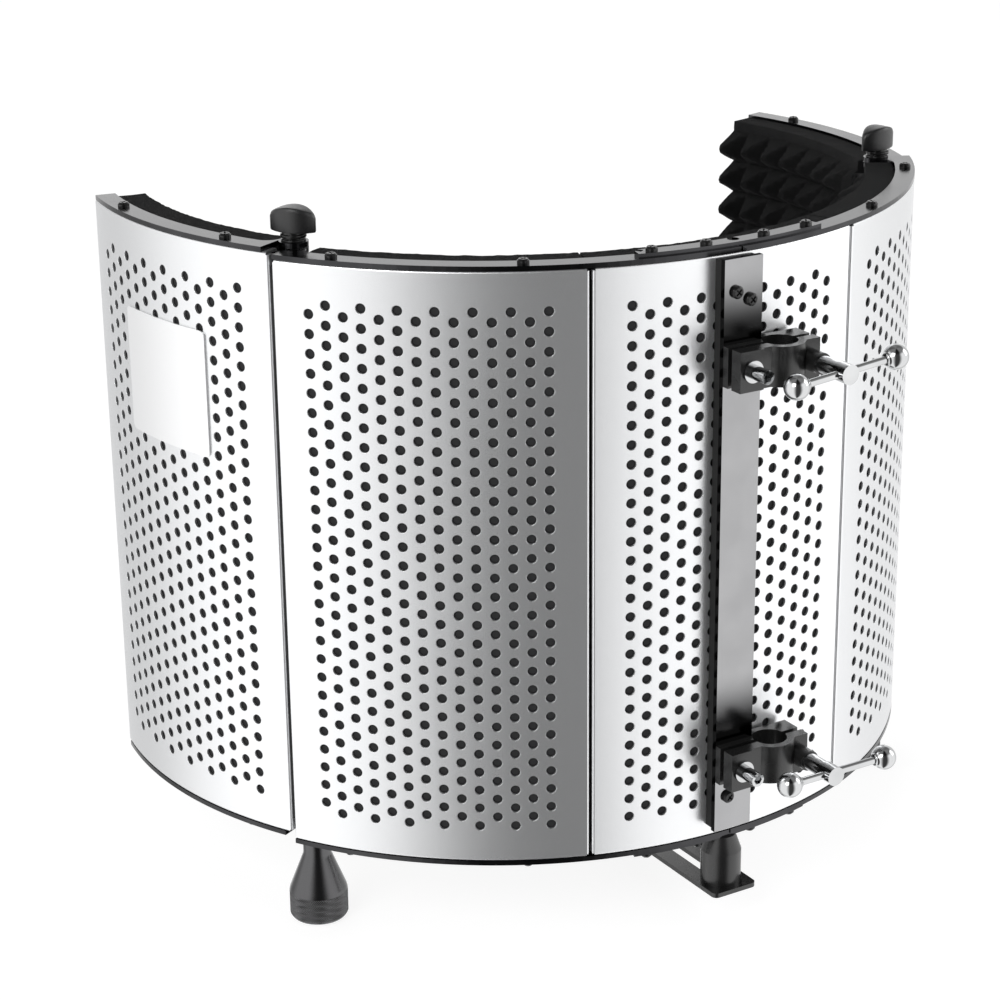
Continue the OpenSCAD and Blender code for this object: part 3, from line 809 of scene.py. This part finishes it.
# ---------- turned and moulded pieces ----------

def hinge_point(side, z):
    return on_arc(side * HINGE_A, HINGE_R, z)


FOOT_LOW = -207.0
FOOT_TOP = {-1: -157.5, 1: -160.5}
# Neck and cone of a foot, as radius and height below its top
FOOT_CONE = [(0, 0), (7.3, 0), (7.4, -13), (15.1, -32.6), (15.45, -34.2)]
# Finger band under the cone, down to a little above the rounded bottom edge
BAND_R = 15.5
BAND_TOP = -34.4
BAND_FOOT = 2.5
BAND_ROWS = 40
# Bottom edge, as radius and height above the bottom
FOOT_EDGE = [(15.4, 2.3), (14.6, 0.6), (12.6, 0), (0, 0)]
KNURL_LINES = 84
KNURL_DEPTH = 0.42
KNURL_FOOT = 2.4
GROOVE_SLOPE = 2.4


def knurl(turn, z):
    """Crossed grooves that leave small diamonds on the finger band."""
    if z > BAND_TOP or z < FOOT_LOW - FOOT_TOP[-1] + KNURL_FOOT:
        return 0.0
    pitch = math.tau * BAND_R / KNURL_LINES
    crossed = (turn * KNURL_LINES + z / pitch, turn * KNURL_LINES - z / pitch)
    groove = max(1 - GROOVE_SLOPE * abs(a - round(a)) for a in crossed)
    return KNURL_DEPTH * max(0, groove)


def foot_profile(low):
    """Profile of a foot from its bottom at the height low up to its top at 0."""
    upper = rounded(FOOT_CONE, 1.2)
    band = [(BAND_R, z) for z in marks_between(BAND_TOP, low + BAND_FOOT, BAND_ROWS)]
    lower = rounded([(r, low + z) for r, z in FOOT_EDGE], 0.8)
    return list(reversed(upper + band + lower))


for side, label in ((-1, "left"), (1, "right")):
    add_piece(
        label + "_knurled_foot",
        lathe_mesh(
            label + "_knurled_foot",
            foot_profile(FOOT_LOW - FOOT_TOP[side]),
            4 * KNURL_LINES,
            knurl,
        ),
        to_row(Matrix.Translation(hinge_point(side, FOOT_TOP[side]))),
        label + "_foot",
        [FOOT_BLACK],
        [label + "_cone_foot"],
    )


# The grip's two sides are arcs of GRIP_R about points GRIP_OFFSET from its axis. Its blunt ends
# are GRIP_END from the axis, and CROWN_R curves its top along its length.
GRIP_R = 16.5
GRIP_OFFSET = 10.7
GRIP_END = 12.0
GRIP_H = 12.5
CROWN_R = 22.0
GRIP_SIDES = 96
# Rings of the grip from its base up. The first hold a share of the full width and a height, the
# others a share and how far they lie below the crown.
GRIP_BASE = [(0.90, 0.0), (0.985, 0.25), (1.0, 1.1)]
GRIP_WALL = [(1.0 - 0.01 * k, 1.9 - 0.25 * k) for k in range(3)]
GRIP_CROWN = [(0.945, 0.55), (0.90, 0.18), (0.82, 0.03), (0.6, 0), (0.35, 0), (0.12, 0)]


def grip_radius(turn):
    """Distance from the axis to the side of the grip, in the direction turn (radians)."""
    c, s = abs(math.cos(turn)), abs(math.sin(turn))
    lens = -GRIP_OFFSET * s + math.sqrt(GRIP_R ** 2 - (GRIP_OFFSET * c) ** 2)
    return min(lens, GRIP_END)


def grip_mesh(name):
    """Lens-shaped grip with soft edges and a crown that is curved along its length."""
    skin = Skin()
    rings = [(share, height, True) for share, height in GRIP_BASE]
    rings += [(share, drop, False) for share, drop in GRIP_WALL + GRIP_CROWN]

    def spot(k, ring):
        share, height, from_base = ring
        turn = k % GRIP_SIDES / GRIP_SIDES * math.tau
        r = grip_radius(turn) * share
        x, y = r * math.cos(turn), r * math.sin(turn)
        crown = GRIP_H - CROWN_R + math.sqrt(CROWN_R ** 2 - x * x)
        return (x, y, height if from_base else crown - height)

    for a, b in zip(rings, rings[1:]):
        for k in range(GRIP_SIDES):
            skin.face([spot(k, a), spot(k + 1, a), spot(k + 1, b), spot(k, b)])
    skin.face([spot(k, rings[-1]) for k in range(GRIP_SIDES)])
    skin.face([spot(k, rings[0]) for k in reversed(range(GRIP_SIDES))])
    return skin.mesh(name, 55)


# Neck under the grip with its grooves, as radius and height
NECK_FLANGE = [(3.0, 0.0), (6.2, 0.0), (6.2, 1.0), (5.3, 1.2), (5.3, 1.7)]
NECK_COLLAR = [(6.5, 1.9), (6.5, 3.4), (5.6, 3.7), (5.6, 4.8), (0, 4.8)]
KNOB_LOW = {-1: 160.5, 1: 157.5}
KNOB_TURN = {-1: -52.0, 1: 9.0}
NECK_H = 4.5

grip_shape = grip_mesh("knob_grip")
neck_shape = lathe_mesh("knob_neck", rounded(NECK_FLANGE + NECK_COLLAR, 0.25), 64)
for side, label in ((-1, "left"), (1, "right")):
    spin = Matrix.Rotation(math.radians(KNOB_TURN[side]), 4, "Z")
    add_piece(
        label + "_knob_grip",
        grip_shape,
        to_row(Matrix.Translation(hinge_point(side, KNOB_LOW[side] + NECK_H)) @ spin),
        label + "_knob",
        [KNOB_BLACK],
        [label + "_knob"],
    )
    add_piece(
        label + "_knob_neck",
        neck_shape,
        to_row(Matrix.Translation(hinge_point(side, KNOB_LOW[side]))),
        label + "_knob",
        [SCREW_BLACK],
    )


BALL_R = 6.5
ROD_R = 2.0
# From the middle of a rod to the middle of its balls
ROD_REACH = 30.0
ROD_Y = -275.5
SCREW_X = 27.0
# Each rod's height, how far it has slid through the boss, and its tilt in degrees
RODS = (("upper", 101.7, 1.5, 5.0), ("lower", -110.3, 4.5, 0.0))
# Collar between rod and ball, which the ball meets BALL_START degrees from its pole
BALL_COLLAR = [(ROD_R + 0.05, -6.45), (3.0, -6.45), (3.3, -6.0)]
BALL_START = 32

ball_turns = [math.radians(t) for t in range(BALL_START, 181, 4)]
ball_profile = BALL_COLLAR + [(BALL_R * math.sin(t), -BALL_R * math.cos(t)) for t in ball_turns]
ball_shape = lathe_mesh("rod_ball", ball_profile, 64, sharp_angle=60)
for label, z, shift, tilt in RODS:
    rod = Matrix.Translation((SCREW_X, ROD_Y, z)) @ Matrix.Rotation(math.radians(-tilt), 4, "Y")
    rod = rod @ Matrix.Translation((shift, 0, 0)) @ Matrix.Rotation(math.radians(90), 4, "Y")
    for end, name in ((1, "right"), (-1, "left")):
        flip = Matrix.Rotation(0 if end > 0 else math.pi, 4, "X")
        piece = add_piece(
            label + "_" + name + "_ball",
            ball_shape,
            to_row(rod @ flip @ Matrix.Translation((0, 0, ROD_REACH))),
            label + "_rod",
            [CHROME],
        )
        if end > 0:
            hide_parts(label + "_rod_balls")


THREAD_PITCH = 0.94
THREAD_DEPTH = 0.45
THREAD_R = 7.9
# The thread's grooves lie between these heights above the top of the microphone plate
THREAD_LOW = 3.0
THREAD_HIGH = 15.2
# Shank in the plate's slot and flange on top of the plate, then the end above the thread
STUD_SHANK = [(0, -10.5), (2.7, -10.5), (2.95, -10.2), (2.95, 0.05)]
STUD_FLANGE = [(11, 0.05), (11, 2.5), (THREAD_R, 2.5)]
STUD_END = [(7.3, 15.5), (0, 15.5)]


def thread(turn, z):
    """Helical thread of the microphone stud."""
    if not THREAD_LOW < z < THREAD_HIGH:
        return 0.0
    share = (z / THREAD_PITCH - turn) % 1
    return THREAD_DEPTH * abs(2 * share - 1)


stud_profile = rounded(STUD_SHANK + STUD_FLANGE, 0.3)
stud_profile += [(THREAD_R, z) for z in marks_between(2.9, 15.0, 96)] + STUD_END
add_piece(
    "mic_stud_threaded",
    lathe_mesh("mic_stud_threaded", stud_profile, 72, thread),
    to_row(Matrix.Translation((0, -135, -186.7))),
    "stud",
    [ZINC],
    ["mic_stud"],
)


# ---------- finishes of the CAD nodes ----------

def finish_nodes(material, edge, *names):
    """Gives CAD nodes a material and rounds their sharp edges by edge mm."""
    for name in names:
        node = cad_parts[name]
        node.data.materials.clear()
        node.data.materials.append(material)
        if edge:
            bevel = node.modifiers.new("edges", "BEVEL")
            bevel.width = edge * MM
            bevel.segments = 3
            bevel.limit_method = "ANGLE"
            bevel.angle_limit = math.radians(40)
            bevel.harden_normals = True


SIDES = ("left", "right")
LEVELS = ("upper", "lower")
rims = [end + "_rim_" + side for end in ("top", "bottom") for side in SIDES]
rims += [side + "_wing_" + end + "_rim" for end in ("top", "bottom") for side in SIDES]
finish_nodes(RIM_BLACK, 0.35, *rims)
finish_nodes(RIM_BLACK, 0.3, "top_lap_plate", "bottom_lap_plate")
finish_nodes(SCREW_BLACK, 0.15, "rim_screws", "bar_screws")
finish_nodes(SCREW_BLACK, 0.15, "left_wing_screws", "right_wing_screws")
finish_nodes(SCREW_BLACK, 0.3, "plate_bolt")
finish_nodes(BAR_BLACK_PAINTED_SHEEN, 0.35, "mounting_bar")
finish_nodes(CAST_BLACK, 0.35, "mic_plate")
finish_nodes(PACKING, 0.3, "bar_spacer")
finish_nodes(CAST_BLACK, 0.4, "plate_spacer", "stud_thumb_nut")
finish_nodes(CHROME, 0.3, "jaw_bolts", "jaw_washers")
for level in LEVELS:
    finish_nodes(CAST_BLACK, 0.5, level + "_rear_jaw", level + "_front_jaw")
    finish_nodes(CAST_BLACK, 0.4, level + "_screw_sleeve")
    finish_nodes(CHROME, 0.3, level + "_clamp_screw")
    finish_nodes(CHROME, 0, level + "_cross_rod")
finish_nodes(ZINC, 0.2, "bar_nuts", "hinge_nuts", "plate_bolt_nut")
for side in SIDES:
    finish_nodes(ZINC, 0.2, side + "_wing_nut")
    finish_nodes(ZINC, 0, side + "_knob_stud", side + "_foot_stud")


# ---------- stage ----------

WHITE = (1, 1, 1, 1)
FLOOR_Z = -207.5
# Half width of the floor, in metres
FLOOR_REACH = 6.0


def floor_material():
    """Matt floor that is lit just enough by itself to end white under its soft shadows."""
    n = Nodes("pale_floor")
    patches = n.grain(3)
    n.put(
        Base_Color=n.mix(n.spread(patches, 0, 1), (0.28, 0.28, 0.28), (0.30, 0.30, 0.30)),
        Roughness=0.9,
        Specular_IOR_Level=0.0,
        Emission_Color=WHITE,
        Emission_Strength=0.86,
    )
    return n.material


floor_mesh = bpy.data.meshes.new("floor")
floor_level = (FLOOR_Z + ARC_CENTRE.z) * MM
floor_corners = [
    (x * FLOOR_REACH, y * FLOOR_REACH, floor_level) for x, y in ((-1, -1), (1, -1), (1, 1), (-1, 1))
]
floor_mesh.from_pydata(floor_corners, [], [(0, 1, 2, 3)])
floor = place_mesh("floor", floor_mesh, Matrix.Identity(4), [floor_material()])
floor.visible_glossy = False


# What reflections see besides white: dark panels round the studio, each with the azimuth of its
# middle, its half width, the softness of its edges (degrees) and the light that is left in it
DARK_PANELS = ((-24, 30, 17, 0.05), (-155, 20, 16, 0.45), (112, 24, 18, 0.66))
# Elevations where the ceiling starts and has reached its darkest, and the light left there
CEILING = (28, 48, 0.22)
STUDIO_STRENGTH = 1.35


def studio_world():
    """White studio. Reflections see soft dark panels round it and a dim ceiling."""
    world = bpy.data.worlds.new("studio")
    world.use_nodes = True
    world.node_tree.nodes.clear()
    n = Tree(world.node_tree)
    incoming = n.add("ShaderNodeNewGeometry").outputs["Incoming"]
    split = n.add("ShaderNodeSeparateXYZ", {"Vector": incoming}).outputs
    x, y, z = (n.calc("MULTIPLY", split[axis], -1.0) for axis in "XYZ")
    azimuth = n.calc("ARCTAN2", x, n.calc("MULTIPLY", y, -1.0))

    def dark_panel(middle, half, soft, light_left):
        gap = n.calc("SUBTRACT", azimuth, math.radians(middle))
        away = n.calc("ARCCOSINE", n.calc("COSINE", gap))
        start, stop = math.radians(half - soft), math.radians(half + soft)
        return n.spread(away, light_left, 1.0, start, stop, "SMOOTHSTEP")

    level = dark_panel(*DARK_PANELS[0])
    for panel in DARK_PANELS[1:]:
        level = n.calc("MULTIPLY", level, dark_panel(*panel))
    low, high, light_left = CEILING
    start, stop = math.sin(math.radians(low)), math.sin(math.radians(high))
    ceiling = n.spread(z, 1.0, light_left, start, stop, "SMOOTHSTEP")
    level = n.calc("MULTIPLY", level, ceiling)
    strength = n.calc("MULTIPLY", level, STUDIO_STRENGTH)
    studio = n.add("ShaderNodeBackground", {"Color": WHITE, "Strength": strength}).outputs[0]
    plain = n.add("ShaderNodeBackground", {"Color": WHITE}).outputs[0]
    seen = n.add("ShaderNodeLightPath").outputs["Is Camera Ray"]
    shown = n.add("ShaderNodeMixShader", {0: seen, 1: studio, 2: plain}).outputs[0]
    n.add("ShaderNodeOutputWorld", {"Surface": shown})
    return world


bpy.context.scene.world = studio_world()
bpy.context.scene.view_settings.view_transform = "Standard"
# Point that the lamps face, in metres in the row frame
AIM = Vector((0, 0.15, 0.1))


def add_softbox(name, place, width, height, power):
    """Rectangular lamp, in metres and watts, that points at the object."""
    lamp = bpy.data.lights.new(name, "AREA")
    lamp.shape = "RECTANGLE"
    lamp.size = width
    lamp.size_y = height
    lamp.energy = power
    box = bpy.data.objects.new(name, lamp)
    bpy.context.scene.collection.objects.link(box)
    box.location = place
    box.rotation_euler = (AIM - Vector(place)).to_track_quat("-Z", "Y").to_euler()


add_softbox("key_softbox", (-2.2, -1.0, 1.7), width=1.4, height=1.4, power=22)
add_softbox("right_softbox", (2.2, -0.8, 1.2), width=1.2, height=1.6, power=12)


# ---------- camera ----------

# Angles in degrees. Distance and upward shift are measured from the arc's centre.
VIEW_AZIMUTH = -31.03
VIEW_ELEVATION = 19.851
VIEW_ROLL = -0.66
VIEW_DISTANCE = 1489.18
VIEW_SHIFT_UP = -38.93
LENS = 93.66
SENSOR = 36.0

out_dir = outward(VIEW_AZIMUTH) * math.cos(math.radians(VIEW_ELEVATION))
out_dir.z = math.sin(math.radians(VIEW_ELEVATION))
right_dir = outward(VIEW_AZIMUTH + 90)
up_dir = out_dir.cross(right_dir)
roll = math.radians(VIEW_ROLL)
right_rolled = right_dir * math.cos(roll) + up_dir * math.sin(roll)
up_rolled = up_dir * math.cos(roll) - right_dir * math.sin(roll)
axes = Matrix((right_rolled, up_rolled, out_dir)).transposed().to_4x4()
eye = (out_dir * VIEW_DISTANCE + up_rolled * VIEW_SHIFT_UP + ARC_CENTRE) * MM

camera_data = bpy.data.cameras.new("camera")
camera_data.lens = LENS
camera_data.sensor_width = SENSOR
camera_data.clip_start = 0.05
camera = bpy.data.objects.new("camera", camera_data)
camera.matrix_world = Matrix.Translation(eye) @ axes
bpy.context.scene.collection.objects.link(camera)
bpy.context.scene.camera = camera
